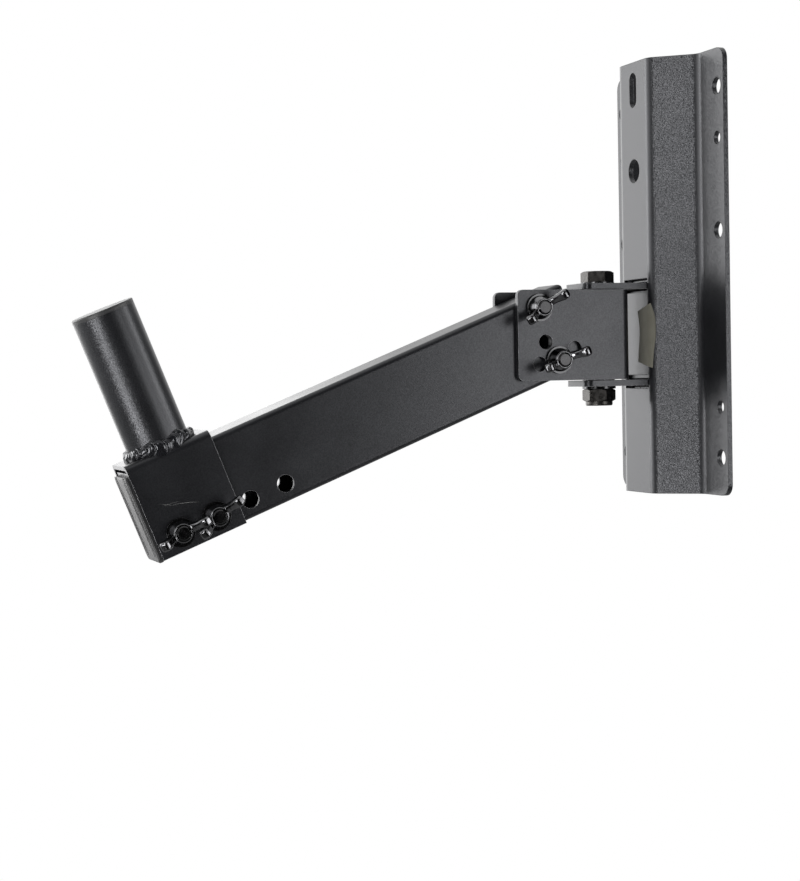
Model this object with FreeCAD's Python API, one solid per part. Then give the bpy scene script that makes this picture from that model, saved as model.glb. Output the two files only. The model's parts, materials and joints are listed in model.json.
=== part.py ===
import FreeCAD, Part
import math
import os

os.makedirs("parts", exist_ok=True)
V = FreeCAD.Vector

# Wall bracket for a loudspeaker on a 35 mm pole. Millimetres.
# The wall is the plane Y = 0 with the room at -Y, +Z is up, and +X is right seen from the room.
# The origin is the centre of the wall plate, on the wall plane.

# Wall plate: a bent sheet with a raised face, two slanted webs and two flanges
plate_height = 256.0
plate_sheet = 3.0
plate_half_width = 66.0
face_depth = 26.0
face_half_width = 18.5
web_foot_half_width = 37.5
plate_bend_inner = 5.0
plate_foot_bend_inner = 8.0
flange_corner_radius = 7.0
wall_screw_hole_r = 4.8
wall_small_hole_r = 3.7
flange_hole_edge = 7.5
outer_hole_z = 106.3
inner_hole_z = 77.0
middle_hole_z = 24.3
face_hole_r = 7.0
face_hole_z = 63.6
face_slot_z = 111.5
face_slot_length = 20.4
face_slot_width = 8.6

# Yoke: a bent strip behind the face whose two ears come out through slots
ear_sheet = 3.5
ear_width = 29.0
ear_gap = 53.5
top_ear_underside_z = -7.0
ear_reach = 15.0
ear_corner_radius = 4.5
ear_bend_inner = 1.3
ear_slot_height = 8.0
ear_slot_rise = 0.5
ear_slot_side_gap = 0.3
swivel_offset = 25.5

# Swivel bolt, M10, with its lock nut and the bush that turns on it
swivel_bolt_r = 5.0
swivel_hole_gap = 0.25
swivel_head_flats = 17.0
swivel_head_height = 6.4
swivel_washer_r = 10.0
swivel_washer_sheet = 1.0
nut_washer_sheet = 1.5
lock_nut_hex_height = 7.4
lock_nut_collar_r = 8.0
lock_nut_collar_height = 2.6
lock_nut_lip = 0.8
nylon_ring_r = 6.6
nylon_ring_height = 1.6
swivel_bolt_short = 0.6
bush_r = 9.5
bush_end_gap = 0.1
running_gap = 0.08

# Clevis: a sheet folded to a U, closed towards the wall
clevis_sheet = 3.0
clevis_side_gap = 0.3
clevis_end_gap = 0.5
clevis_bend_inner = 2.0
clevis_corner_radius = 3.5
cheek_past_pivot = 13.5
swivel_to_pivot = 46.2
pivot_below_ear = 10.9

# Tilt steps of the arm
tilt_step_deg = 21.6
tilt_steps_down = 1
tilt_last_step = 2
lock_radius = 32.5
side_hole_along = 3.7
side_hole_below = 19.8

# Arm: a rectangular tube, measured from the pivot along the arm and square to it
arm_height = 50.0
arm_width = 30.0
arm_wall = 2.0
arm_corner_radius = 3.0
arm_above_pivot = 7.5
arm_behind_pivot = 19.2
arm_end_radius = 2.0
arm_end_cut = 11.5
pivot_to_pole = 232.0
arm_past_pole = 24.5
sleeve_hole_pitch = 21.7
free_hole_count = 2
sleeve_hole_above_low = 10.0
sleeve_hole_play = 0.9
plug_flange = 2.5
plug_edge_radius = 1.0
plug_wall = 1.6
plug_bolt_gap = 2.0
plug_gap = 0.15
plug_drop = 1.8

# Sleeve and pole
sleeve_sheet = 2.5
sleeve_side_gap = 0.1
sleeve_top_gap = 2.0
sleeve_bend_inner = 1.5
sleeve_length = 50.0
sleeve_below_arm = 0.5
pole_r = 17.5
pole_wall = 2.0
pole_height = 79.0
cap_height = 2.4
cap_edge_radius = 0.8
cap_plug_depth = 10.0
cap_plug_wall = 1.8
cap_gap = 0.1
weld_leg = 3.2
weld_height = 5.0
weld_bevel = 0.8

# M8 bolts with washers and wing nuts
bolt_r = 4.0
bolt_hole_gap = 0.3
bolt_head_flats = 13.0
bolt_head_height = 5.3
washer_r = 8.0
washer_sheet = 1.6
wing_base_r = 6.6
wing_top_r = 5.3
wing_hub_height = 6.5
wing_thickness = 3.2
wing_tip_r = 3.0
wing_tip_reach = 13.0
wing_tip_height = 10.5
bolt_end_past_nut = 0.8
pivot_wing_deg = 34.0
lock_wing_deg = 20.5
inner_sleeve_wing_deg = 19.0
outer_sleeve_wing_deg = 7.0

# Derived places
top_ear_top_z = top_ear_underside_z + ear_sheet
low_ear_top_z = top_ear_underside_z - ear_gap
low_ear_underside_z = low_ear_top_z - ear_sheet
swivel_y = -(face_depth + swivel_offset)
pivot_y = swivel_y - swivel_to_pivot
pivot_z = top_ear_underside_z - pivot_below_ear
clevis_inner_half = arm_width / 2 + clevis_side_gap
clevis_outer_half = clevis_inner_half + clevis_sheet
clevis_top_z = top_ear_underside_z - clevis_end_gap
clevis_height = ear_gap - 2 * clevis_end_gap
sleeve_inner_half = arm_width / 2 + sleeve_side_gap
sleeve_outer_half = sleeve_inner_half + sleeve_sheet
arm_tilt_deg = tilt_step_deg * tilt_steps_down
arm_end = pivot_to_pole + arm_past_pole
plug_depth = arm_past_pole - sleeve_hole_pitch / 2 - bolt_r - plug_bolt_gap
sleeve_top = arm_above_pivot + sleeve_top_gap + sleeve_sheet
sleeve_hole_height = arm_above_pivot - arm_height + sleeve_hole_above_low
bolt_hole_r = bolt_r + bolt_hole_gap
sleeve_hole_along = [pivot_to_pole + (i - 0.5) * sleeve_hole_pitch for i in range(2)]
free_hole_along = [sleeve_hole_along[0] - (i + 1) * sleeve_hole_pitch for i in range(free_hole_count)]


def save(shape, node):
    # one closed solid per file
    shape.exportStep("parts/%s.step" % node)


def box(x0, x1, y0, y1, z0, z1):
    return Part.makeBox(x1 - x0, y1 - y0, z1 - z0, V(x0, y0, z0))


def along_x(r, y, z, x0, x1):
    return Part.makeCylinder(r, x1 - x0, V(x0, y, z), V(1, 0, 0))


def along_y(r, x, z, y0, y1):
    return Part.makeCylinder(r, y1 - y0, V(x, y0, z), V(0, 1, 0))


def along_z(r, x, y, z0, z1):
    return Part.makeCylinder(r, z1 - z0, V(x, y, z0), V(0, 0, 1))


def edges_at(shape, spots, direction):
    # straight edges parallel to direction that pass through one of the spots
    found = []
    for edge in shape.Edges:
        if edge.Curve.TypeId != "Part::GeomLine":
            continue
        a, b = edge.Vertexes[0].Point, edge.Vertexes[-1].Point
        run = b - a
        if run.cross(direction).Length > 1e-6 * run.Length:
            continue
        for spot in spots:
            off = spot - a
            if (off - direction * off.dot(direction)).Length < 1e-4:
                found.append(edge)
                break
    return found


def offset_line(points, distance):
    # the same open polyline moved sideways, with mitred corners
    moved = []
    for i, p in enumerate(points):
        normals = []
        if i > 0:
            d = (p[0] - points[i - 1][0], p[1] - points[i - 1][1])
            n = math.hypot(d[0], d[1])
            normals.append((-d[1] / n, d[0] / n))
        if i < len(points) - 1:
            d = (points[i + 1][0] - p[0], points[i + 1][1] - p[1])
            n = math.hypot(d[0], d[1])
            normals.append((-d[1] / n, d[0] / n))
        nx = sum(m[0] for m in normals) / len(normals)
        ny = sum(m[1] for m in normals) / len(normals)
        scale = 1.0 / (nx * nx + ny * ny)
        moved.append((p[0] + nx * scale * distance, p[1] + ny * scale * distance))
    return moved


def bent_sheet(points, sheet, inner_r, to_3d, direction, length):
    # a strip folded along a polyline: points run on one skin, the other skin lies at the left
    # inner_r is one radius, or a list with one radius a bend
    radii = inner_r if isinstance(inner_r, list) else [inner_r] * (len(points) - 2)
    other = offset_line(points, sheet)
    ring = [to_3d(p) for p in points + other[::-1]]
    solid = Part.Face(Part.makePolygon(ring + ring[:1])).extrude(direction * length)
    spots = {}
    for i in range(1, len(points) - 1):
        ax, ay = points[i][0] - points[i - 1][0], points[i][1] - points[i - 1][1]
        bx, by = points[i + 1][0] - points[i][0], points[i + 1][1] - points[i][1]
        turns_left = ax * by - ay * bx > 0
        near, far = (other[i], points[i]) if turns_left else (points[i], other[i])
        spots.setdefault(radii[i - 1], []).append(to_3d(near))
        spots.setdefault(radii[i - 1] + sheet, []).append(to_3d(far))
    for radius in sorted(spots):
        solid = solid.makeFillet(radius, edges_at(solid, spots[radius], direction))
    return solid


def hexagon(flats, height, chamfer_both):
    # hexagon on Z with its corners turned off by a cone at the top, or at both ends
    r = flats / math.sqrt(3)
    corners = [V(r * math.cos(math.radians(60 * i)), r * math.sin(math.radians(60 * i)), 0)
               for i in range(6)]
    prism = Part.Face(Part.makePolygon(corners + corners[:1])).extrude(V(0, 0, height))
    rim = flats / 2 * 0.97
    drop = (r - rim) * math.tan(math.radians(30))
    low = drop if chamfer_both else 0.0
    outline = [V(0, 0, 0), V(rim if chamfer_both else r + 1, 0, 0)]
    if chamfer_both:
        outline.append(V(r, 0, low))
        outline.append(V(r, 0, height - drop))
    else:
        outline.append(V(r + 1, 0, height - drop))
        outline.append(V(r, 0, height - drop))
    outline += [V(rim, 0, height), V(0, 0, height)]
    turned = Part.Face(Part.makePolygon(outline + outline[:1])).revolve(V(0, 0, 0), V(0, 0, 1), 360)
    return prism.common(turned).removeSplitter()


def wall_plate():
    outer = [(-plate_half_width, -plate_sheet), (-web_foot_half_width, -plate_sheet),
             (-face_half_width, -face_depth), (face_half_width, -face_depth),
             (web_foot_half_width, -plate_sheet), (plate_half_width, -plate_sheet)]
    half = plate_height / 2
    radii = [plate_foot_bend_inner, plate_bend_inner, plate_bend_inner, plate_foot_bend_inner]
    solid = bent_sheet(outer, plate_sheet, radii,
                       lambda p: V(p[0], p[1], -half), V(0, 0, 1), plate_height)
    corners = [V(sx * plate_half_width, 0, sz * half) for sx in (-1, 1) for sz in (-1, 1)]
    solid = solid.makeFillet(flange_corner_radius, edges_at(solid, corners, V(0, 1, 0)))
    hole_x = plate_half_width - flange_hole_edge
    holes = []
    for sx in (-1, 1):
        for z, r in ((outer_hole_z, wall_screw_hole_r), (-outer_hole_z, wall_screw_hole_r),
                     (middle_hole_z, wall_screw_hole_r), (inner_hole_z, wall_small_hole_r),
                     (-inner_hole_z, wall_small_hole_r)):
            holes.append(along_y(r, sx * hole_x, z, -plate_sheet - 1, 1))
    face_back = -face_depth + plate_sheet
    holes.append(along_y(face_hole_r, 0, face_hole_z, -face_depth - 1, face_back + 1))
    slot_r = face_slot_width / 2
    slot_half = face_slot_length / 2 - slot_r
    for sz in (-1, 1):
        holes.append(along_y(slot_r, 0, face_slot_z + sz * slot_half, -face_depth - 1, face_back + 1))
    holes.append(box(-slot_r, slot_r, -face_depth - 1, face_back + 1,
                     face_slot_z - slot_half, face_slot_z + slot_half))
    slot_x = ear_width / 2 + ear_slot_side_gap
    for ear_z in (top_ear_underside_z + ear_sheet / 2, low_ear_top_z - ear_sheet / 2):
        mid = ear_z + ear_slot_rise
        holes.append(box(-slot_x, slot_x, -face_depth - 1, face_back + 1,
                         mid - ear_slot_height / 2, mid + ear_slot_height / 2))
    return solid.cut(Part.makeCompound(holes))


def swivel_yoke():
    # web flat against the back of the face, one ear above and one below the clevis
    web_y = -face_depth + plate_sheet
    tip_y = swivel_y - ear_reach
    inner = [(tip_y, top_ear_underside_z), (web_y, top_ear_underside_z),
             (web_y, low_ear_top_z), (tip_y, low_ear_top_z)]
    half = ear_width / 2
    solid = bent_sheet(inner, ear_sheet, ear_bend_inner,
                       lambda p: V(-half, p[0], p[1]), V(1, 0, 0), ear_width)
    corners = [V(sx * half, tip_y, 0) for sx in (-1, 1)]
    solid = solid.makeFillet(ear_corner_radius, edges_at(solid, corners, V(0, 0, 1)))
    hole_r = swivel_bolt_r + swivel_hole_gap
    return solid.cut(along_z(hole_r, 0, swivel_y, low_ear_underside_z - 1, top_ear_top_z + 1))


def swivel_stack():
    # bolt from above: head, washer, ear, bush, ear, washer, lock nut
    head_z = top_ear_top_z + swivel_washer_sheet
    nut_top_z = low_ear_underside_z - nut_washer_sheet
    nut_low_z = nut_top_z - lock_nut_hex_height - lock_nut_collar_height
    head = hexagon(swivel_head_flats, swivel_head_height, False)
    head.translate(V(0, swivel_y, head_z))
    shank = along_z(swivel_bolt_r, 0, swivel_y, nut_low_z + swivel_bolt_short, head_z)
    save(head.fuse(shank).removeSplitter(), "swivel_bolt")
    hole_r = swivel_bolt_r + swivel_hole_gap
    for node, z0, sheet in (("swivel_head_washer", top_ear_top_z, swivel_washer_sheet),
                            ("swivel_nut_washer", nut_top_z, nut_washer_sheet)):
        disc = along_z(swivel_washer_r, 0, swivel_y, z0, z0 + sheet)
        save(disc.cut(along_z(hole_r, 0, swivel_y, z0 - 1, z0 + sheet + 1)), node)
    nut = hexagon(swivel_head_flats, lock_nut_hex_height, True)
    collar = Part.makeCylinder(lock_nut_collar_r, lock_nut_collar_height, V(0, 0, 0), V(0, 0, -1))
    collar = collar.makeFillet(0.9, [e for e in collar.Edges
                                     if abs(e.BoundBox.ZMax + lock_nut_collar_height) < 1e-6])
    nut = nut.fuse(collar)
    nut.translate(V(0, swivel_y, nut_top_z - lock_nut_hex_height))
    bore_r = swivel_bolt_r + running_gap
    nut = nut.cut(along_z(bore_r, 0, swivel_y, nut_low_z - 1, nut_top_z + 1))
    ring_z = nut_low_z + lock_nut_lip
    nut = nut.cut(along_z(nylon_ring_r, 0, swivel_y, ring_z, ring_z + nylon_ring_height))
    save(nut.removeSplitter(), "swivel_lock_nut")
    ring = along_z(nylon_ring_r, 0, swivel_y, ring_z, ring_z + nylon_ring_height)
    save(ring.cut(along_z(bore_r, 0, swivel_y, ring_z - 1, ring_z + nylon_ring_height + 1)),
         "lock_nut_nylon_ring")
    bush = along_z(bush_r, 0, swivel_y, low_ear_top_z + bush_end_gap, top_ear_underside_z - bush_end_gap)
    save(bush.cut(along_z(bore_r, 0, swivel_y, low_ear_top_z, top_ear_underside_z)), "swivel_bush")


def lock_hole(step):
    # place of one lock hole in the cheeks, from the pivot, for one tilt step
    angle = math.radians(step * tilt_step_deg)
    return lock_radius * math.sin(angle), -lock_radius * math.cos(angle)


def clevis():
    back_y = swivel_y + bush_r
    free_y = pivot_y - cheek_past_pivot
    half = clevis_inner_half
    inner = [(half, free_y), (half, back_y), (-half, back_y), (-half, free_y)]
    low_z = clevis_top_z - clevis_height
    solid = bent_sheet(inner[::-1], clevis_sheet, clevis_bend_inner,
                       lambda p: V(p[0], p[1], low_z), V(0, 0, 1), clevis_height)
    corners = [V(0, free_y, z) for z in (low_z, clevis_top_z)]
    solid = solid.makeFillet(clevis_corner_radius, edges_at(solid, corners, V(1, 0, 0)))
    spots = [(0.0, 0.0)] + [lock_hole(i) for i in range(tilt_last_step + 1)]
    angle = math.radians(arm_tilt_deg)
    spots.append((side_hole_below * math.sin(angle) - side_hole_along * math.cos(angle),
                  -side_hole_below * math.cos(angle) - side_hole_along * math.sin(angle)))
    holes = [along_x(bolt_hole_r, pivot_y + y, pivot_z + z, -clevis_outer_half - 1, clevis_outer_half + 1)
             for y, z in spots]
    return solid.cut(Part.makeCompound(holes))


def on_arm(shape):
    # arm shapes are drawn level with the pivot at the origin, then tilted and placed
    turned = shape.copy()
    turned.rotate(V(0, 0, 0), V(1, 0, 0), arm_tilt_deg)
    turned.translate(V(0, pivot_y, pivot_z))
    return turned


def rounded_tube(width, y0, y1, z0, z1, r):
    block = box(-width / 2, width / 2, y0, y1, z0, z1)
    corners = [V(sx * width / 2, 0, z) for sx in (-1, 1) for z in (z0, z1)]
    return block.makeFillet(r, edges_at(block, corners, V(0, 1, 0)))


def arm_tube():
    top, low = arm_above_pivot, arm_above_pivot - arm_height
    outer = rounded_tube(arm_width, -arm_end, arm_behind_pivot, low, top, arm_corner_radius)
    inner = rounded_tube(arm_width - 2 * arm_wall, -arm_end - 1, arm_behind_pivot + 1,
                         low + arm_wall, top - arm_wall, arm_corner_radius - arm_wall)
    tube = outer.cut(inner)
    # the wall end is cut to clear the bush: a rounded upper corner and a slanted lower one
    side = box(-arm_width, arm_width, -arm_end - 5, arm_behind_pivot, low, top)
    side = side.makeFillet(arm_end_radius, edges_at(side, [V(0, arm_behind_pivot, top)], V(1, 0, 0)))
    side = side.makeChamfer(arm_end_cut, edges_at(side, [V(0, arm_behind_pivot, low)], V(1, 0, 0)))
    tube = tube.common(side)
    reach = arm_width / 2 + 1
    holes = [along_x(bolt_r + running_gap, 0, 0, -reach, reach),
             along_x(bolt_hole_r, -side_hole_along, -side_hole_below, -reach, reach)]
    holes += [along_x(bolt_r + sleeve_hole_play, -a, sleeve_hole_height, -reach, reach)
              for a in sleeve_hole_along + free_hole_along]
    # arc slot for the lock bolt over the whole tilt, standing in for one round hole
    span = tilt_step_deg * max(tilt_steps_down, tilt_last_step - tilt_steps_down)
    ring = Part.makeCylinder(lock_radius + bolt_hole_r, 2 * reach, V(-reach, 0, 0), V(1, 0, 0))
    ring = ring.cut(Part.makeCylinder(lock_radius - bolt_hole_r, 2 * reach, V(-reach, 0, 0), V(1, 0, 0)))
    far = 2 * lock_radius
    edge = far * math.tan(math.radians(span))
    wedge = Part.Face(Part.makePolygon([V(-reach, 0, 0), V(-reach, edge, -far), V(-reach, -edge, -far),
                                        V(-reach, 0, 0)])).extrude(V(2 * reach, 0, 0))
    holes.append(ring.common(wedge))
    for sign in (-1, 1):
        y = sign * lock_radius * math.sin(math.radians(span))
        z = -lock_radius * math.cos(math.radians(span))
        holes.append(along_x(bolt_hole_r, y, z, -reach, reach))
    for hole in holes:
        tube = tube.cut(hole)
    return on_arm(tube)


def arm_end_plug():
    top, low = arm_above_pivot, arm_above_pivot - arm_height
    flange = rounded_tube(arm_width, -arm_end - plug_flange, -arm_end, low - plug_drop, top - plug_drop,
                          arm_corner_radius)
    face = [e for e in flange.Edges if e.BoundBox.YMax < -arm_end - plug_flange + 1e-4]
    flange = flange.makeFillet(plug_edge_radius, face)
    inset = arm_wall + plug_gap
    body = rounded_tube(arm_width - 2 * inset, -arm_end - 0.5, -arm_end + plug_depth,
                        low + inset, top - inset, 0.8)
    core = inset + plug_wall
    body = body.cut(box(-arm_width / 2 + core, arm_width / 2 - core, -arm_end, -arm_end + plug_depth + 1,
                        low + core, top - core))
    return on_arm(flange.fuse(body).removeSplitter())


def pole_sleeve():
    low = arm_above_pivot - arm_height - sleeve_below_arm
    high = arm_above_pivot + sleeve_top_gap
    half = sleeve_inner_half
    y0 = -(pivot_to_pole + sleeve_length / 2)
    inner = [(half, low), (half, high), (-half, high), (-half, low)]
    solid = bent_sheet(inner[::-1], sleeve_sheet, sleeve_bend_inner,
                       lambda p: V(p[0], y0, p[1]), V(0, 1, 0), sleeve_length)
    reach = sleeve_outer_half + 1
    for a in sleeve_hole_along:
        solid = solid.cut(along_x(bolt_hole_r, -a, sleeve_hole_height, -reach, reach))
    return solid


def pole_parts():
    sleeve = pole_sleeve()
    y = -pivot_to_pole
    top = sleeve_top + pole_height
    # the foot of the pole is bevelled for the weld
    outer = along_z(pole_r, 0, y, sleeve_top + weld_height, top)
    outer = outer.fuse(Part.makeCone(pole_r - weld_bevel, pole_r, weld_height, V(0, y, sleeve_top), V(0, 0, 1)))
    tube = outer.cut(along_z(pole_r - pole_wall, 0, y, sleeve_top - 1, top + 1))
    cap = along_z(pole_r, 0, y, top, top + cap_height)
    cap = cap.makeFillet(cap_edge_radius, [e for e in cap.Edges if e.BoundBox.ZMin > top + cap_height - 1e-6])
    plug_r = pole_r - pole_wall - cap_gap
    plug = along_z(plug_r, 0, y, top - cap_plug_depth, top + 0.5)
    plug = plug.cut(along_z(plug_r - cap_plug_wall, 0, y, top - cap_plug_depth - 1, top))
    # weld bead all round the foot of the pole, run down over the bends of the sleeve
    root_r = pole_r - weld_bevel
    bead = [V(root_r, 0, sleeve_top + weld_height), V(pole_r, 0, sleeve_top + weld_height),
            V(pole_r + weld_leg * 0.45, 0, sleeve_top + weld_height * 0.62),
            V(pole_r + weld_leg, 0, sleeve_top + 0.6), V(pole_r + weld_leg, 0, sleeve_top - 1.2),
            V(pole_r + 1.2, 0, sleeve_top - sleeve_sheet), V(root_r, 0, sleeve_top - sleeve_sheet)]
    ring = Part.Face(Part.makePolygon(bead + bead[:1])).revolve(V(0, 0, 0), V(0, 0, 1), 360)
    ring.translate(V(0, y, 0))
    filled = box(-sleeve_inner_half - 0.5, sleeve_inner_half + 0.5, y - 2 * pole_r, y + 2 * pole_r,
                 sleeve_top - 2 * sleeve_sheet, sleeve_top - sleeve_sheet)
    weld = ring.cut(outer).cut(sleeve).cut(filled)
    save(on_arm(sleeve), "pole_sleeve")
    save(on_arm(tube), "speaker_pole")
    save(on_arm(cap.fuse(plug).removeSplitter()), "pole_cap")
    save(on_arm(max(weld.Solids, key=lambda s: s.Volume)), "pole_weld")


def wing_nut():
    # hub on the X axis with its seat at X = 0, and two wings along Y
    hub = Part.makeCone(wing_base_r, wing_top_r, wing_hub_height, V(0, 0, 0), V(1, 0, 0))
    half = wing_thickness / 2
    for sign in (-1, 1):
        tip = V(wing_tip_height, sign * wing_tip_reach, -half)
        disc = Part.makeCylinder(wing_tip_r, wing_thickness, tip, V(0, 0, 1))
        low_root = V(1.2, sign * wing_top_r * 0.8, -half)
        high_root = V(wing_hub_height - 0.2, sign * wing_top_r * 0.8, -half)
        web = Part.Face(Part.makePolygon([low_root, tip + V(-wing_tip_r * 0.85, sign * wing_tip_r * 0.52, 0),
                                          tip + V(wing_tip_r * 0.70, -sign * wing_tip_r * 0.71, 0),
                                          high_root, low_root])).extrude(V(0, 0, wing_thickness))
        hub = hub.fuse(disc.fuse(web))
    hub = hub.removeSplitter()
    return hub.cut(Part.makeCylinder(bolt_r + running_gap, wing_hub_height + 8, V(-1, 0, 0), V(1, 0, 0)))


def bolt_set(name, half_span, y, z, wing_deg, place):
    # bolt from the -X side: head, washer, the clamped pieces, washer, wing nut
    seat = half_span + washer_sheet
    head = hexagon(bolt_head_flats, bolt_head_height, False)
    head.rotate(V(0, 0, 0), V(0, 1, 0), -90)
    head.translate(V(-seat, y, z))
    end = seat + wing_hub_height + bolt_end_past_nut
    shank = along_x(bolt_r, y, z, -seat, end)
    shank = shank.makeChamfer(0.7, [e for e in shank.Edges if e.BoundBox.XMin > end - 1e-6])
    save(place(head.fuse(shank).removeSplitter()), name + "_bolt")
    for side, x0 in (("head", -seat), ("nut", half_span)):
        disc = along_x(washer_r, y, z, x0, x0 + washer_sheet)
        disc = disc.cut(along_x(bolt_hole_r, y, z, x0 - 1, x0 + washer_sheet + 1))
        save(place(disc), "%s_%s_washer" % (name, side))
    nut = wing_nut()
    nut.rotate(V(0, 0, 0), V(1, 0, 0), wing_deg)
    nut.translate(V(seat, y, z))
    save(place(nut), name + "_wing_nut")


def still(shape):
    return shape


save(wall_plate(), "wall_plate")
save(swivel_yoke(), "swivel_yoke")
swivel_stack()
save(clevis(), "clevis")
save(arm_tube(), "arm_tube")
save(arm_end_plug(), "arm_end_plug")
pole_parts()
bolt_set("pivot", clevis_outer_half, pivot_y, pivot_z, pivot_wing_deg, still)
lock_y, lock_z = lock_hole(tilt_steps_down)
bolt_set("tilt_lock", clevis_outer_half, pivot_y + lock_y, pivot_z + lock_z, lock_wing_deg, still)
for label, along, wing_deg in (("inner_sleeve", sleeve_hole_along[0], inner_sleeve_wing_deg),
                               ("outer_sleeve", sleeve_hole_along[1], outer_sleeve_wing_deg)):
    bolt_set(label, sleeve_outer_half, -along, sleeve_hole_height, wing_deg, on_arm)
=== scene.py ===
import json
import math

import bmesh
import bpy
from mathutils import Matrix, Vector, noise


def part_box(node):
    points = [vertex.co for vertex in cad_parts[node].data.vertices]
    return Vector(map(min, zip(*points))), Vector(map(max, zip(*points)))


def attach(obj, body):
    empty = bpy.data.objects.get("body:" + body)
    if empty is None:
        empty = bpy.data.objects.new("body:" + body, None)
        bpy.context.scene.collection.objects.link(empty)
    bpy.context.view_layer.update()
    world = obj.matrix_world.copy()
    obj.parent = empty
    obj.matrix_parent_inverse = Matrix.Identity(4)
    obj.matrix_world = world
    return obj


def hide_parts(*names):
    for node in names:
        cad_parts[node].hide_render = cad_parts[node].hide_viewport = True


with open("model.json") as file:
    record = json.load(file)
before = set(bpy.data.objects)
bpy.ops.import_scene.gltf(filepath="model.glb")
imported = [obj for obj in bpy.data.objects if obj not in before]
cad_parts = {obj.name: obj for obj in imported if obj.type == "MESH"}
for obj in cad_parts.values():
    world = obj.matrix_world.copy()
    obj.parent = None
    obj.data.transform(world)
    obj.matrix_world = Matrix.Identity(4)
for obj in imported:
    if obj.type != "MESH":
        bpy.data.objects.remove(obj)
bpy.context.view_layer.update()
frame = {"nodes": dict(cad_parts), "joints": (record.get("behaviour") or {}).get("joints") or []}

MM = 0.001
nodes = frame["nodes"]


# Sizes in millimetres, taken from the frame where it has them

def half_width(node):
    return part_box(node)[1][0] / MM


tilt = next(joint for joint in frame["joints"] if joint["name"] == "tilt")
PIVOT = Vector([place / MM for place in tilt["pos_m"]])
LOCK_STEP = math.radians(tilt["range_deg"][1])
ARM_TILT = LOCK_STEP                # at rest the arm hangs one step below level
LOCK_HOLE_REACH = 32.5              # from the pivot
ARM_HALF = half_width("arm_tube")
POLE_ALONG = 232.0                  # from the pivot, along the arm
POLE_R = half_width("speaker_pole")
SLEEVE_TOP = 12.0
SLEEVE_HALF = half_width("pole_sleeve")
SLEEVE_BEND = 4.0
PLATE_SHEET = 3.0
PLATE_FACE_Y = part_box("wall_plate")[0][1] / MM
PLATE_FACE_HALF = 18.5
PLATE_FOOT_HALF = 37.5
PLATE_BEND = 8.0


# Node helpers

NOISE_LOW, NOISE_HIGH = 0.3, 0.7    # most of a noise texture's values lie between these


def new_material(name):
    mat = bpy.data.materials.new(name)
    mat.use_nodes = True
    tree = mat.node_tree
    tree.nodes.clear()
    out = tree.nodes.new("ShaderNodeOutputMaterial")
    bsdf = tree.nodes.new("ShaderNodeBsdfPrincipled")
    tree.links.new(bsdf.outputs["BSDF"], out.inputs["Surface"])
    return mat, tree, bsdf


def feed(tree, value, socket):
    # links what another node gives, or sets a plain value
    if isinstance(value, bpy.types.NodeSocket):
        tree.links.new(value, socket)
    else:
        socket.default_value = value


def calc(tree, operation, *values):
    node = tree.nodes.new("ShaderNodeMath")
    node.operation = operation
    for value, socket in zip(values, node.inputs):
        feed(tree, value, socket)
    return node.outputs["Value"]


def vector_calc(tree, operation, *values, output="Vector"):
    node = tree.nodes.new("ShaderNodeVectorMath")
    node.operation = operation
    sockets = (node.inputs[0], node.inputs["Scale"]) if operation == "SCALE" else node.inputs
    for value, socket in zip(values, sockets):
        feed(tree, value, socket)
    return node.outputs[output]


def object_place(tree):
    return tree.nodes.new("ShaderNodeTexCoord").outputs["Object"]


def facing(tree):
    # how far the surface faces along the object's X, Y and Z
    parts = tree.nodes.new("ShaderNodeSeparateXYZ")
    tree.links.new(tree.nodes.new("ShaderNodeTexCoord").outputs["Normal"], parts.inputs[0])
    return parts.outputs


def noise_texture(tree, place, per_metre, detail):
    node = tree.nodes.new("ShaderNodeTexNoise")
    node.inputs["Scale"].default_value = per_metre
    node.inputs["Detail"].default_value = detail
    tree.links.new(place, node.inputs["Vector"])
    return node.outputs


def ramp(tree, value, low, high, from_min=NOISE_LOW, from_max=NOISE_HIGH):
    node = tree.nodes.new("ShaderNodeMapRange")
    node.inputs["From Min"].default_value = from_min
    node.inputs["From Max"].default_value = from_max
    node.inputs["To Min"].default_value = low
    node.inputs["To Max"].default_value = high
    tree.links.new(value, node.inputs["Value"])
    return node.outputs["Result"]


def color_ramp(tree, value, low, high):
    node = tree.nodes.new("ShaderNodeValToRGB")
    for stop, position, color in zip(node.color_ramp.elements, (NOISE_LOW, NOISE_HIGH), (low, high)):
        stop.position = position
        stop.color = (*color, 1)
    tree.links.new(value, node.inputs["Fac"])
    return node.outputs["Color"]


def bump(tree, height, distance, strength, normal):
    node = tree.nodes.new("ShaderNodeBump")
    node.inputs["Strength"].default_value = strength
    node.inputs["Distance"].default_value = distance
    tree.links.new(height, node.inputs["Height"])
    tree.links.new(normal, node.inputs["Normal"])
    return node.outputs["Normal"]


def soft_edge(tree, radius):
    node = tree.nodes.new("ShaderNodeBevel")
    node.samples = 4
    node.inputs["Radius"].default_value = radius
    return node.outputs["Normal"]


# Powder coat, with lengths in metres

COAT_DARK = (0.0055, 0.0057, 0.0066)
COAT_LIGHT = (0.0080, 0.0083, 0.0096)
# painted light: the coat's reflections are tinted a little blue, standing in for bluish light
COAT_REFLECTION_BLUE = (0.945, 0.955, 1.0, 1)
COAT_GLOSS = 0.60
COAT_PATCHES = 45.0                 # slow changes of shade, per metre
LEAST_GRAIN = 0.25
WALL_SIDE = (0.05, 0.35)            # turned this far to the wall, a face starts and ends to lose its gloss


def grain_share(tree, coarse):
    # how coarse the grain lies: full on faces turned sideways or, by weight, to the room, least elsewhere
    sideways, room, start, end = coarse
    parts = facing(tree)
    to_side = calc(tree, "MULTIPLY", calc(tree, "ABSOLUTE", parts["X"]), sideways)
    total = calc(tree, "MULTIPLY_ADD", parts["Y"], -room, to_side)
    return ramp(tree, total, LEAST_GRAIN, 1.0, start, end)


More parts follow.
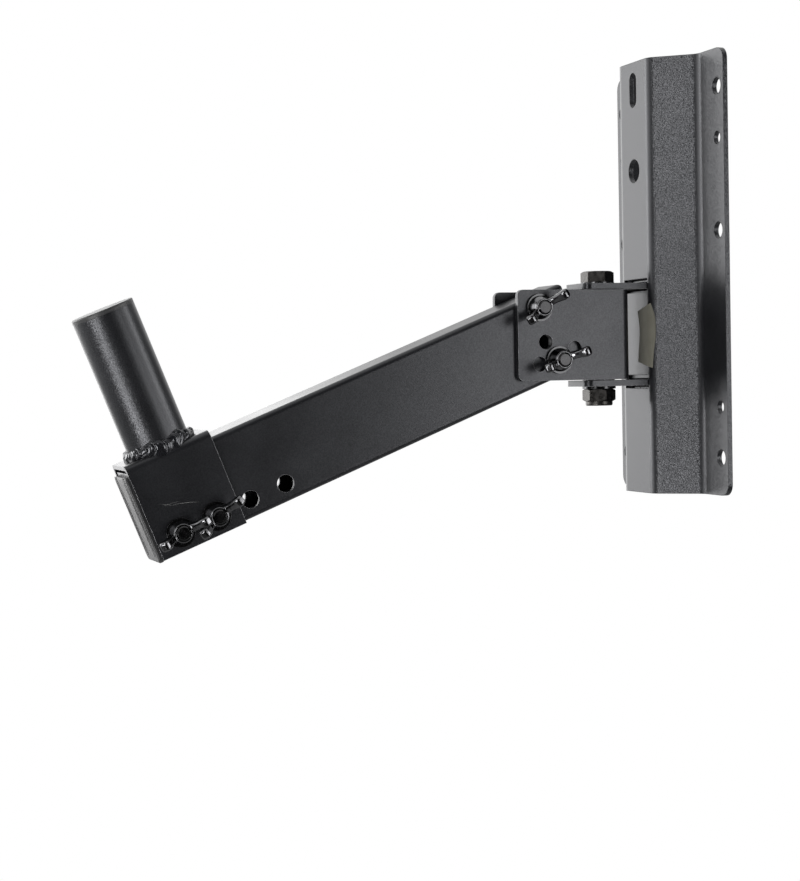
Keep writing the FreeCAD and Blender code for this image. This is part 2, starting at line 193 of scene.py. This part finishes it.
def grain_normal(tree, place, grains, tilt, share, normal):
    # grains of the powder, each tilted a little at random
    color = noise_texture(tree, place, grains, 1.0)["Color"]
    middle = vector_calc(tree, "SUBTRACT", color, (0.5, 0.5, 0.5))
    lean = vector_calc(tree, "SCALE", middle, calc(tree, "MULTIPLY", share, tilt))
    return vector_calc(tree, "NORMALIZE", vector_calc(tree, "ADD", lean, normal))


def painted_edge_highlight(tree, rounded, color, highlight_color):
    # painted highlight: along sharp edges, where the rounded normal leans away, the colour is lightened
    # towards a pale grey, standing in for edges that catch the lamps
    highlight_full_at, highlight_none_at = 0.80, 0.985
    true_normal = tree.nodes.new("ShaderNodeNewGeometry").outputs["Normal"]
    lean = vector_calc(tree, "DOT_PRODUCT", rounded, true_normal, output="Value")
    mix = tree.nodes.new("ShaderNodeMix")
    mix.data_type = "RGBA"
    # of a colour mix's sockets, 6 and 7 are the two colours and 2 is the result
    color_a, color_b, result = mix.inputs[6], mix.inputs[7], mix.outputs[2]
    tree.links.new(ramp(tree, lean, 1.0, 0.0, highlight_full_at, highlight_none_at), mix.inputs["Factor"])
    tree.links.new(color, color_a)
    color_b.default_value = (*highlight_color, 1)
    return result


def powder_coat(name, grain_tilt, sparkle, edge_radius, roughness=0.30, coarse=(1.0, 0.0, 0.45, 0.72),
                back_gloss=1.0, grains=1500.0, highlight_color=None):
    # satin black coat of fine grains, so many to a metre, that tilt and sparkle at random; faces turned
    # to the wall keep only back_gloss of their gloss, as painted shade, and the last argument, when given,
    # is the pale colour of a painted highlight along sharp edges
    mat, tree, bsdf = new_material(name)
    place = object_place(tree)
    patches = noise_texture(tree, place, COAT_PATCHES, 3.0)["Fac"]
    edge = soft_edge(tree, edge_radius)
    paint = color_ramp(tree, patches, COAT_DARK, COAT_LIGHT)
    # painted highlight along sharp edges, when a pale colour for it is given
    tree.links.new(painted_edge_highlight(tree, edge, paint, highlight_color) if highlight_color else paint, bsdf.inputs["Base Color"])
    tree.links.new(ramp(tree, patches, roughness * 0.95, roughness * 1.08), bsdf.inputs["Roughness"])
    bsdf.inputs["Specular Tint"].default_value = COAT_REFLECTION_BLUE
    share = grain_share(tree, coarse)
    fleck = ramp(tree, noise_texture(tree, place, grains, 1.0)["Fac"], -sparkle, sparkle)
    level = calc(tree, "MULTIPLY_ADD", fleck, share, COAT_GLOSS)
    # painted shade: faces turned to the wall keep only back_gloss of their gloss, standing in for the shade
    # of the wall, so the hollow of the plate stays dark
    to_wall = ramp(tree, facing(tree)["Y"], 1.0, back_gloss, *WALL_SIDE)
    tree.links.new(calc(tree, "MULTIPLY", level, to_wall), bsdf.inputs["Specular IOR Level"])
    tree.links.new(grain_normal(tree, place, grains, grain_tilt, share, edge), bsdf.inputs["Normal"])
    return mat


# Plated metal and plastic, with lengths in metres

def plated(name, color, roughness, edge_radius):
    # plating on cast, cold-headed or turned steel, a little uneven in shade and gloss
    mat, tree, bsdf = new_material(name)
    uneven = noise_texture(tree, object_place(tree), 420.0, 3.0)["Fac"]
    low = tuple(c * 0.75 for c in color)
    high = tuple(c * 1.2 for c in color)
    tree.links.new(color_ramp(tree, uneven, low, high), bsdf.inputs["Base Color"])
    tree.links.new(ramp(tree, uneven, roughness * 0.8, roughness * 1.25), bsdf.inputs["Roughness"])
    bsdf.inputs["Metallic"].default_value = 1.0
    dents = bump(tree, uneven, 0.00004, 0.6, soft_edge(tree, edge_radius))
    tree.links.new(dents, bsdf.inputs["Normal"])
    return mat


def plastic(name, low, high, roughness, grain_height, edge_radius, gloss=0.5):
    mat, tree, bsdf = new_material(name)
    bsdf.inputs["Specular IOR Level"].default_value = gloss
    place = object_place(tree)
    grain = noise_texture(tree, place, 1600.0, 2.0)["Fac"]
    patches = noise_texture(tree, place, 90.0, 2.0)["Fac"]
    tree.links.new(color_ramp(tree, patches, low, high), bsdf.inputs["Base Color"])
    tree.links.new(ramp(tree, patches, roughness * 0.92, roughness * 1.08), bsdf.inputs["Roughness"])
    mould_skin = bump(tree, grain, grain_height, 1.0, soft_edge(tree, edge_radius))
    tree.links.new(mould_skin, bsdf.inputs["Normal"])
    return mat


# Materials of the pieces

# back_gloss here is painted shade on the wall plate's faces turned to the wall
coat = powder_coat("powder_coat", grain_tilt=0.54, sparkle=0.32, edge_radius=0.0006, back_gloss=0.10)
coat_pole = powder_coat("powder_coat_pole", grain_tilt=0.44, sparkle=0.32, edge_radius=0.0003,
                        roughness=0.33, coarse=(0.77, 0.64, 0.70, 0.92), grains=2200.0)
# the pale grey given last below is a painted highlight along the sharp edges of the pieces in the fine coat
coat_smooth = powder_coat("powder_coat_fine", grain_tilt=0.10, sparkle=0.10, edge_radius=0.0004,
                          highlight_color=(0.34, 0.34, 0.35))
weld_coat = powder_coat("weld_coat", grain_tilt=0.06, sparkle=0.1, edge_radius=0.0002, roughness=0.17)
black_plate = plated("black_plating", (0.15, 0.15, 0.155), roughness=0.13, edge_radius=0.0003)
washer_plate = plated("washer_plating", (0.065, 0.065, 0.067), roughness=0.16, edge_radius=0.0003)
hex_plate = plated("hex_plating", (0.065, 0.062, 0.059), roughness=0.30, edge_radius=0.0004)
bolt_plate = plated("bolt_plating", (0.045, 0.045, 0.046), roughness=0.22, edge_radius=0.0004)
turned_steel = plated("turned_steel", (0.42, 0.42, 0.43), roughness=0.32, edge_radius=0.0003)
plug_plastic = plastic("plug_plastic", (0.020, 0.020, 0.021), (0.028, 0.028, 0.029), roughness=0.42,
                       grain_height=0.00002, edge_radius=0.0004)
nylon = plastic("nylon", (0.62, 0.61, 0.57), (0.72, 0.71, 0.67), roughness=0.45,
                grain_height=0.00001, edge_radius=0.0002)
patch_gel = plastic("patch_gel", (0.100, 0.097, 0.080), (0.126, 0.122, 0.101), roughness=0.7,
                    grain_height=0.00002, edge_radius=0.0002, gloss=0.08)
scuff = plastic("scuff", (0.12, 0.12, 0.12), (0.34, 0.34, 0.33), roughness=0.5,
                grain_height=0.00001, edge_radius=0.0001)

OWN_MATERIAL = {"arm_end_plug": plug_plastic, "pole_cap": plug_plastic, "lock_nut_nylon_ring": nylon,
                "swivel_bush": turned_steel, "swivel_bolt": hex_plate, "swivel_lock_nut": hex_plate,
                "pole_weld": weld_coat, "wall_plate": coat, "speaker_pole": coat_pole}
MATERIAL_BY_ENDING = {"bolt": bolt_plate, "washer": washer_plate, "nut": black_plate}


def paint_nodes():
    for name, obj in nodes.items():
        ending = name.rsplit("_", 1)[-1]
        obj.data.materials.clear()
        obj.data.materials.append(OWN_MATERIAL.get(name) or MATERIAL_BY_ENDING.get(ending, coat_smooth))


# Mesh helpers, for shapes drawn in millimetres

def on_arm(p):
    # arm drawings are level, with the pivot at the origin and Y towards the wall
    c, s = math.cos(ARM_TILT), math.sin(ARM_TILT)
    return Vector((p[0], PIVOT.y + p[1] * c - p[2] * s, PIVOT.z + p[1] * s + p[2] * c))


def turn_outward(mesh):
    bm = bmesh.new()
    bm.from_mesh(mesh)
    bmesh.ops.recalc_face_normals(bm, faces=bm.faces)
    bm.to_mesh(mesh)
    bm.free()


def in_scene(name, data):
    obj = bpy.data.objects.new(name, data)
    bpy.context.scene.collection.objects.link(obj)
    return obj


def add_object(name, verts, faces, mat, body, smooth=True):
    mesh = bpy.data.meshes.new(name)
    mesh.from_pydata([tuple(Vector(v) * MM) for v in verts], [], faces)
    mesh.validate()
    turn_outward(mesh)
    for poly in mesh.polygons:
        poly.use_smooth = smooth
    mesh.materials.append(mat)
    obj = in_scene(name, mesh)
    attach(obj, body)
    return obj


def grid_faces(rows, cols, wrap_rows=False):
    faces = []
    for i in range(rows if wrap_rows else rows - 1):
        j = (i + 1) % rows
        for k in range(cols - 1):
            faces.append((i * cols + k, i * cols + k + 1, j * cols + k + 1, j * cols + k))
    return faces


def tapered(t, margin, power):
    # swells from nearly nothing at both ends of a run, t from 0 to 1
    return math.sin(math.pi * min(max(t, margin), 1 - margin)) ** power


# Weld bead between pole and sleeve

def over_sleeve(u):
    # a point of the sleeve's outer skin at unrolled distance u from its middle
    side = 1.0 if u >= 0 else -1.0
    u = abs(u)
    flat = SLEEVE_HALF - SLEEVE_BEND
    quarter = SLEEVE_BEND * math.pi / 2
    if u <= flat:
        return side * u, SLEEVE_TOP
    if u <= flat + quarter:
        a = (u - flat) / SLEEVE_BEND
        return side * (flat + SLEEVE_BEND * math.sin(a)), SLEEVE_TOP - SLEEVE_BEND * (1 - math.cos(a))
    return side * SLEEVE_HALF, SLEEVE_TOP - SLEEVE_BEND - (u - flat - quarter)


def unroll_sleeve(x):
    side = 1.0 if x >= 0 else -1.0
    x = abs(x)
    flat = SLEEVE_HALF - SLEEVE_BEND
    if x <= flat:
        return side * x
    return side * (flat + SLEEVE_BEND * math.asin(min(1.0, (x - flat) / SLEEVE_BEND)))


def ring_noise(dx, dy, scale, seed):
    return noise.noise(Vector((dx * scale, dy * scale, seed)))


def ripple(phase):
    # one ripple rises fast and falls slowly, then drops to the next one
    drop, skew, end = 0.92, 0.55, 0.955
    saw = phase - math.floor(phase)
    if saw < drop:
        return math.sin(math.pi * saw ** skew)
    return math.sin(math.pi * end) * (1 - saw) / (1 - drop)


def weld_bead():
    # hand-laid bead round the foot of the pole: overlapping curved ripples, lumpy in height and width;
    # it climbs higher and reaches out less over the sleeve's bends
    rows, cols, ripples = 900, 30, 22
    low_height, bend_height, wall_side_drop = 4.2, 4.2, 0.5
    flat_reach, bend_loss = 2.8, 2.6
    thickness, ripple_lift, fine_lift, sink = 0.85, 0.95, 0.09, 0.25
    outward_rise, curve, wander = 0.8, 0.75, 0.5
    verts = []
    for i in range(rows):
        t = 2 * math.pi * i / rows
        dx, dy = math.cos(t), math.sin(t)
        lump = ring_noise(dx, dy, 2.6, 0.4)
        small_lump = ring_noise(dx, dy, 6.5, 3.1)
        height = low_height + bend_height * dx * dx - wall_side_drop * max(dy, 0.0)
        height += 1.1 * lump + 0.8 * small_lump
        reach = flat_reach - bend_loss * dx ** 4 + 0.9 * lump + 0.7 * ring_noise(dx, dy, 7.0, 9.7)
        fat = thickness + 0.35 * small_lump
        foot = unroll_sleeve(POLE_R * dx)
        top = Vector((POLE_R * dx, POLE_R * dy, over_sleeve(foot)[1] + height))
        toe_x, toe_z = over_sleeve(foot + reach * dx)
        toe = Vector((toe_x, (POLE_R + reach) * dy, toe_z))
        out = Vector((dx, dy, outward_rise)).normalized()
        for k in range(cols):
            w = k / (cols - 1)
            side = 2 * w - 1
            swell = math.cos(side * math.pi / 2) ** 0.7
            phase = t * ripples / (2 * math.pi) + curve * side * side
            phase += wander * ring_noise(dx, dy, 5.0, 5.5)
            fine = math.sin(2 * math.pi * phase * 4.0)
            lift = (fat + ripple_lift * ripple(phase) + fine_lift * fine) * swell
            p = top.lerp(toe, w) + out * (lift - sink * (1 - swell))
            verts.append(on_arm((p.x, p.y - POLE_ALONG, p.z)))
    obj = add_object("weld_bead", verts, grid_faces(rows, cols, True), weld_coat, "arm_part")
    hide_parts("pole_weld")


# Cast wing nuts

NUT_PROFILE = [(0.0, 4.15), (0.0, 6.5), (0.5, 6.85), (1.8, 6.6), (5.1, 5.45), (6.1, 5.2), (6.5, 4.75),
               (6.5, 4.15)]         # place along the bolt, radius
WING_SECTIONS = [(2.3, 3.3, 2.8, 2.6), (3.9, 6.0, 2.45, 2.6), (5.9, 8.3, 2.25, 2.7), (8.0, 10.1, 2.35, 2.9),
                 (9.8, 11.7, 2.75, 3.0), (11.3, 12.8, 2.85, 2.8), (12.4, 13.6, 2.6, 2.3),
                 (13.0, 14.0, 1.7, 1.4)]    # place along the bolt, radius, half thickness, half depth


def lathe(profile, steps=64):
    verts, faces = [], []
    for i in range(steps):
        a = 2 * math.pi * i / steps
        for x, r in profile:
            verts.append((x, r * math.cos(a), r * math.sin(a)))
    n = len(profile)
    for i in range(steps):
        j = (i + 1) % steps
        for k in range(n):
            m = (k + 1) % n
            faces.append((i * n + k, i * n + m, j * n + m, j * n + k))
    return verts, faces


def wing(sign, steps=28):
    # a squarish bar along the sections, on one side of the hub
    squareness = 0.5
    last = len(WING_SECTIONS) - 1
    verts, faces = [], []
    for i, (x, r, half, deep) in enumerate(WING_SECTIONS):
        a, b = WING_SECTIONS[max(i - 1, 0)], WING_SECTIONS[min(i + 1, last)]
        run = Vector((b[0] - a[0], b[1] - a[1])).normalized()
        for k in range(steps):
            t = 2 * math.pi * k / steps
            c, s = (math.copysign(abs(v) ** squareness, v) for v in (math.cos(t), math.sin(t)))
            verts.append((x - run.y * deep * c, sign * (r + run.x * deep * c), half * s))
    for i in range(last):
        for k in range(steps):
            m = (k + 1) % steps
            faces.append((i * steps + k, i * steps + m, (i + 1) * steps + m, (i + 1) * steps + k))
    faces.append(tuple(range(steps)))
    faces.append(tuple(range(len(verts) - 1, len(verts) - 1 - steps, -1)))
    return verts, faces


def cast_wing_nut():
    # hub and wings grown together, with rounded roots
    verts, faces = lathe(NUT_PROFILE)
    for sign in (-1, 1):
        wing_verts, wing_faces = wing(sign)
        base = len(verts)
        verts += wing_verts
        faces += [tuple(base + i for i in face) for face in wing_faces]
    mesh = bpy.data.meshes.new("nut_rough")
    mesh.from_pydata(verts, [], faces)
    turn_outward(mesh)
    obj = in_scene("nut_rough", mesh)
    grow = obj.modifiers.new("grow", "REMESH")
    grow.mode = "VOXEL"
    grow.voxel_size = 0.24
    soft = obj.modifiers.new("soft", "SMOOTH")
    soft.factor = 0.6
    soft.iterations = 5
    bpy.context.view_layer.update()
    done = bpy.data.meshes.new_from_object(obj.evaluated_get(bpy.context.evaluated_depsgraph_get()))
    bpy.data.objects.remove(obj)
    verts = [v.co.copy() for v in done.vertices]
    faces = [tuple(p.vertices) for p in done.polygons]
    bpy.data.meshes.remove(done)
    return verts, faces


def wing_lean(world, mid):
    # mean direction of the far points of the wing that reaches furthest
    wing_from = 14.0
    far = max(world, key=lambda p: (p.y - mid.y) ** 2 + (p.z - mid.z) ** 2)
    guess = math.atan2(far.z - mid.z, far.y - mid.y)
    tips = []
    for p in world:
        y, z = p.y - mid.y, p.z - mid.z
        if math.hypot(y, z) > wing_from and y * math.cos(guess) + z * math.sin(guess) > 0:
            tips.append(Vector((y, z)))
    mean = sum(tips, Vector((0.0, 0.0))) / len(tips)
    return math.atan2(mean.y, mean.x)


def fit_wing_nut(shape, node, body):
    # put the cast nut where the plain one sits, wings at the same angle
    verts, faces = shape
    plain = nodes[node]
    world = [plain.matrix_world @ v.co / MM for v in plain.data.vertices]
    seat, level_within = min(p.x for p in world), 0.01
    low_ring = [p for p in world if p.x < seat + level_within]
    mid = sum(low_ring, Vector()) / len(low_ring)
    lean = wing_lean(world, mid)
    c, s = math.cos(lean), math.sin(lean)
    placed = [Vector((v.x + seat, mid.y + v.y * c - v.z * s, mid.z + v.y * s + v.z * c)) for v in verts]
    piece = add_object(node + "_cast", placed, faces, black_plate, body)
    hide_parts(node)


# Patch on the plate

PATCH_LEFT = [(2.2, -19.9), (4.1, -27.2), (4.5, -34.0), (3.2, -42.9), (2.2, -50.1)]
PATCH_RIGHT = [(17.7, -15.5), (20.5, -23.6), (20.9, -34.5), (19.5, -44.5), (18.6, -53.8)]
PATCH_WIDTH, PATCH_LENGTH = 17.0, 33.0


def plate_skin(u, lift):
    # a point on the room side of the wall plate at unrolled distance u from the middle of the face
    slope = math.atan2(-PLATE_SHEET - PLATE_FACE_Y, PLATE_FOOT_HALF - PLATE_FACE_HALF)
    back = PLATE_BEND * math.tan(slope / 2)
    start = PLATE_FACE_HALF - back
    if u <= start:
        return Vector((u, PLATE_FACE_Y - lift))
    turn = (u - start) / PLATE_BEND
    if turn <= slope:
        radius = PLATE_BEND + lift
        return Vector((start + radius * math.sin(turn), PLATE_FACE_Y + PLATE_BEND - radius * math.cos(turn)))
    s = u - start - PLATE_BEND * slope
    x = PLATE_FACE_HALF + (back + s) * math.cos(slope) + lift * math.sin(slope)
    y = PLATE_FACE_Y + (back + s) * math.sin(slope) - lift * math.cos(slope)
    return Vector((x, y))


def spline(points, v):
    # smooth curve through the points, v from 0 to 1
    n = len(points) - 1
    t = min(max(v, 0.0), 1.0) * n
    i = min(int(t), n - 1)
    f = t - i
    p = [Vector(points[min(max(j, 0), n)]) for j in (i - 1, i, i + 1, i + 2)]
    return 0.5 * (2 * p[1] + (p[2] - p[0]) * f + (2 * p[0] - 5 * p[1] + 4 * p[2] - p[3]) * f * f
                  + (3 * p[1] - p[0] - 3 * p[2] + p[3]) * f * f * f)


def blank_patch():
    # thick plain sticker that runs from the face over the bend onto the web, with a rounded rim
    rows, cols = 90, 44
    thick, least, rim_radius, crease_height, crease_from = 0.55, 0.02, 0.7, 0.10, 2.0
    verts = []
    for i in range(rows):
        v = i / (rows - 1)
        a, b = spline(PATCH_LEFT, v), spline(PATCH_RIGHT, v)
        for k in range(cols):
            w = k / (cols - 1)
            p = a.lerp(b, w)
            rim = min(min(w, 1 - w) * PATCH_WIDTH, min(v, 1 - v) * PATCH_LENGTH)
            lift = least + thick * (1 - (1 - min(rim / rim_radius, 1.0)) ** 2) ** 0.5
            crease = noise.noise(Vector((p.x * 0.16, p.y * 0.07, 2.0)))
            lift += crease_height * crease * min(rim / crease_from, 1.0)
            q = plate_skin(p.x, max(lift, least))
            verts.append((q.x, q.y, p.y))
    obj = add_object("blank_patch", verts, grid_faces(rows, cols), patch_gel, "wall_part")


# Small pieces

def plug_ridges():
    # two low rounded ribs along each side of the end plug's outer face
    rows, cols = 24, 10
    places, face_y, top, bottom = (8.0, 11.2), -258.95, 5.9, -40.9
    radius, widen, flatten = 0.45, 1.5, 0.7
    for side in (-1, 1):
        for k, x in enumerate(places):
            verts = []
            for i in range(rows):
                t = i / (rows - 1)
                r = radius * tapered(t, 0.02, 0.25)
                z = top + t * (bottom - top)
                for j in range(cols + 1):
                    a = 2 * math.pi * j / cols
                    place = (side * x + widen * r * math.cos(a), face_y - flatten * r * math.sin(a), z)
                    verts.append(on_arm(place))
            rib = add_object("plug_rib_%d_%d" % (side, k), verts, grid_faces(rows, cols + 1), plug_plastic,
                             "arm_part")


def disc(name, centre, radius, thick, mat, body, steps=40):
    # a thin disc square to X
    x0, y0, z0 = centre
    verts, faces = [], []
    for x in (x0, x0 + thick):
        for i in range(steps):
            a = 2 * math.pi * i / steps
            verts.append((x, y0 + radius * math.cos(a), z0 + radius * math.sin(a)))
    faces.append(tuple(range(steps)))
    faces.append(tuple(range(2 * steps - 1, steps - 1, -1)))
    for i in range(steps):
        j = (i + 1) % steps
        faces.append((i, j, steps + j, steps + i))
    return add_object(name, verts, faces, mat, body, smooth=False)


def lock_hole_blanks():
    # the arm's side walls as they show behind the two lock holes that aren't in use
    radius, thick, off_wall = 5.6, 0.12, 0.09
    near = ARM_HALF + off_wall
    for step in (0, 2):
        a = step * LOCK_STEP
        y, z = PIVOT.y + LOCK_HOLE_REACH * math.sin(a), PIVOT.z - LOCK_HOLE_REACH * math.cos(a)
        for side, x in (("near", near), ("far", -near - thick)):
            blank = disc("wall_behind_hole_%d_%s" % (step, side), (x, y, z), radius, thick, coat_smooth,
                         "clevis_part")


def yoke_welds():
    # a lumpy bead along each ear, behind the face, that joins the yoke to the plate
    rows, cols = 60, 20
    radius, lumpy, ridge, ridge_pitch = 1.75, 0.25, 0.10, 1.6
    side_gap, off_ear, off_face = 0.2, 1.4, 1.9
    low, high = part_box("swivel_yoke")
    half = high[0] / MM - side_gap
    y = PLATE_FACE_Y + PLATE_SHEET + off_face
    for ear, height in (("upper", high[2] / MM + off_ear), ("lower", low[2] / MM - off_ear)):
        verts = []
        for i in range(rows):
            t = i / (rows - 1)
            x = half * (2 * t - 1)
            r = radius + lumpy * noise.noise(Vector((x * 0.5, height, 3.0)))
            r += ridge * abs(math.sin(math.pi * x / ridge_pitch))
            r *= tapered(t, 0.01, 0.12)
            for k in range(cols + 1):
                a = 2 * math.pi * k / cols
                verts.append((x, y + r * math.cos(a), height + r * math.sin(a)))
        bead = add_object("yoke_weld_" + ear, verts, grid_faces(rows, cols + 1), weld_coat, "wall_part")


def scratch(name, start, end, bow, width):
    # a hair-thin scuff lying on the near side of the sleeve, drawn in arm coordinates
    steps, off_sleeve = 24, 0.02
    verts = []
    a, b = Vector(start), Vector(end)
    side = Vector((-(b - a).y, (b - a).x)).normalized()
    for i in range(steps + 1):
        t = i / steps
        p = a.lerp(b, t) + side * bow * math.sin(math.pi * t)
        half = width / 2 * tapered(t, 0.04, 0.5)
        half *= 0.6 + 0.8 * abs(noise.noise(Vector((p.x * 1.7, p.y * 1.7, 0.0))))
        for sign in (-1, 1):
            q = p + side * sign * half
            verts.append(on_arm((SLEEVE_HALF + off_sleeve, q.x, q.y)))
    add_object(name, verts, grid_faces(steps + 1, 2), scuff, "arm_part")


# World and floor

DARK_SIDES = [((1.0, -0.10, 0.0), 0.05, 0.80, 0.03),        # the camera's side
              ((0.0, 0.0, -1.0), 0.20, 0.40, 0.30),         # low down
              ((0.10, -0.995, 0.0), 0.90, 0.985, 0.35),     # in front of the wall plate
              ((-0.27, 0.96, 0.0), 0.86, 0.97, 0.08)]       # behind the wall plate


def build_world():
    # plain white to the camera; to the object it is a white room with dark sides
    world = bpy.data.worlds.new("studio")
    bpy.context.scene.world = world
    world.use_nodes = True
    tree = world.node_tree
    tree.nodes.clear()
    out = tree.nodes.new("ShaderNodeOutputWorld")
    room = tree.nodes.new("ShaderNodeBackground")
    white = tree.nodes.new("ShaderNodeBackground")
    white.inputs["Color"].default_value = (1, 1, 1, 1)
    coord = tree.nodes.new("ShaderNodeTexCoord").outputs["Generated"]
    level = 1.0
    for towards, start, end, least in DARK_SIDES:
        shade = tree.nodes.new("ShaderNodeMapRange")
        shade.interpolation_type = "SMOOTHSTEP"
        shade.inputs["From Min"].default_value = start
        shade.inputs["From Max"].default_value = end
        shade.inputs["To Min"].default_value = 1.0
        shade.inputs["To Max"].default_value = least
        toward = vector_calc(tree, "DOT_PRODUCT", coord, Vector(towards).normalized(), output="Value")
        tree.links.new(toward, shade.inputs["Value"])
        level = calc(tree, "MULTIPLY", level, shade.outputs["Result"])
    tree.links.new(level, room.inputs["Color"])
    mix = tree.nodes.new("ShaderNodeMixShader")
    camera_ray = tree.nodes.new("ShaderNodeLightPath").outputs["Is Camera Ray"]
    tree.links.new(camera_ray, mix.inputs["Fac"])
    tree.links.new(room.outputs["Background"], mix.inputs[1])
    tree.links.new(white.outputs["Background"], mix.inputs[2])
    tree.links.new(mix.outputs["Shader"], out.inputs["Surface"])


def build_floor(height=-0.80, size=30.0, fade_from=0.7, fade_to=1.6):
    mesh = bpy.data.meshes.new("floor")
    s = size / 2
    corners = [(-s, -s, height), (s, -s, height), (s, s, height), (-s, s, height)]
    mesh.from_pydata(corners, [], [(0, 1, 2, 3)])
    floor = in_scene("floor", mesh)
    mat, tree, bsdf = new_material("pale_floor")
    bsdf.inputs["Base Color"].default_value = (0.92, 0.92, 0.92, 1)
    bsdf.inputs["Roughness"].default_value = 0.9
    bsdf.inputs["Specular IOR Level"].default_value = 0.1
    # far from the object the floor fades into the white background
    far = vector_calc(tree, "LENGTH", object_place(tree), output="Value")
    fade = ramp(tree, far, 0.0, 1.0, fade_from, fade_to)
    camera_ray = tree.nodes.new("ShaderNodeLightPath").outputs["Is Camera Ray"]
    glow = tree.nodes.new("ShaderNodeEmission")
    glow.inputs["Strength"].default_value = 1.0
    mix = tree.nodes.new("ShaderNodeMixShader")
    tree.links.new(calc(tree, "MULTIPLY", fade, camera_ray), mix.inputs["Fac"])
    tree.links.new(bsdf.outputs["BSDF"], mix.inputs[1])
    tree.links.new(glow.outputs["Emission"], mix.inputs[2])
    out = next(n for n in tree.nodes if n.type == "OUTPUT_MATERIAL")
    tree.links.new(mix.outputs["Shader"], out.inputs["Surface"])
    mesh.materials.append(mat)
    floor.visible_glossy = False


# Lamps and camera, in degrees and metres; azimuth 0 looks at the plate's face and 90 at its right side

ARM_MIDDLE = (0.0, -0.18, -0.06)
PLATE_MIDDLE = (0.0, -0.03, 0.0)
PLATE_FACE = (0.03, -0.05, 0.0)
CLEVIS_CHEEK = (0.015, -0.09, -0.04)
POLE_MIDDLE = (0.0, -0.33, -0.05)


def away(azimuth, elevation):
    # unit vector from the object towards a lamp or the camera
    return Vector((math.sin(azimuth) * math.cos(elevation), -math.cos(azimuth) * math.cos(elevation),
                   math.sin(elevation)))


def softbox(name, azimuth, elevation, distance, size, radiance, target=ARM_MIDDLE):
    # a flat lamp facing the target; radiance 1 is plain white
    back = away(math.radians(azimuth), math.radians(elevation))
    lamp = bpy.data.lights.new(name, "AREA")
    lamp.shape = "RECTANGLE"
    lamp.size, lamp.size_y = size
    lamp.energy = radiance * math.pi * size[0] * size[1]
    obj = bpy.data.objects.new(name, lamp)
    obj.location = Vector(target) + back * distance
    obj.rotation_mode = "QUATERNION"
    obj.rotation_quaternion = (-back).to_track_quat("-Z", "Y")
    obj.visible_camera = False
    bpy.context.scene.collection.objects.link(obj)


def build_lamps():
    softbox("key_low", 42.0, -21.0, 1.2, size=(0.56, 0.36), radiance=10.5, target=POLE_MIDDLE)
    softbox("key", 38.5, 12.0, 1.6, size=(0.34, 0.70), radiance=7.4, target=PLATE_FACE)
    softbox("cheek_box", 118.0, -3.0, 0.95, size=(0.33, 0.50), radiance=3.4, target=CLEVIS_CHEEK)
    softbox("right_low", 147.0, -3.0, 1.6, size=(0.62, 0.68), radiance=5.4)
    softbox("right_high", 164.0, 17.0, 1.6, size=(0.60, 0.50), radiance=4.0)
    softbox("left_box", -77.0, 3.0, 1.4, size=(0.90, 1.0), radiance=1.7, target=PLATE_MIDDLE)
    softbox("flange_box", -43.0, 8.0, 1.4, size=(0.50, 0.90), radiance=5.0, target=PLATE_MIDDLE)
    softbox("left_wide", -16.0, 6.0, 1.4, size=(0.85, 0.90), radiance=1.2, target=PLATE_MIDDLE)


def build_camera():
    # where the photograph was taken from
    azimuth, elevation, roll = math.radians(69.8607), math.radians(1.9926), math.radians(-1.1265)
    place = Vector((1.016675, -0.550766, -0.054768))
    focal_px, photo_height_px, sensor_mm = 1896.170, 881.0, 36.0
    back = away(azimuth, elevation)
    right = Vector((0, 0, 1)).cross(back).normalized()
    up = back.cross(right)
    right, up = (right * math.cos(roll) + up * math.sin(roll),
                 up * math.cos(roll) - right * math.sin(roll))
    cam = bpy.data.cameras.new("camera")
    cam.sensor_width = sensor_mm
    cam.sensor_fit = "AUTO"
    cam.lens = focal_px / photo_height_px * sensor_mm
    cam.clip_start, cam.clip_end = 0.02, 100.0
    obj = in_scene("camera", cam)
    obj.matrix_world = Matrix.Translation(place) @ Matrix((right, up, back)).transposed().to_4x4()
    bpy.context.scene.camera = obj


# The whole scene

paint_nodes()
weld_bead()
nut_shape = cast_wing_nut()
fit_wing_nut(nut_shape, "pivot_wing_nut", "pivot_nut")
fit_wing_nut(nut_shape, "tilt_lock_wing_nut", "lock_nut")
fit_wing_nut(nut_shape, "inner_sleeve_wing_nut", "inner_sleeve_nut")
fit_wing_nut(nut_shape, "outer_sleeve_wing_nut", "outer_sleeve_nut")
blank_patch()
lock_hole_blanks()
yoke_welds()
plug_ridges()
scratch("scuff_a", (-240.5, -17.2), (-227.4, -21.4), bow=0.35, width=0.13)
scratch("scuff_b", (-247.0, -13.8), (-238.8, -18.1), bow=-0.25, width=0.09)
scratch("scuff_c", (-245.5, -15.6), (-236.8, -16.9), bow=0.20, width=0.07)
build_world()
build_floor()
build_lamps()
build_camera()
bpy.context.scene.view_settings.view_transform = "Standard"
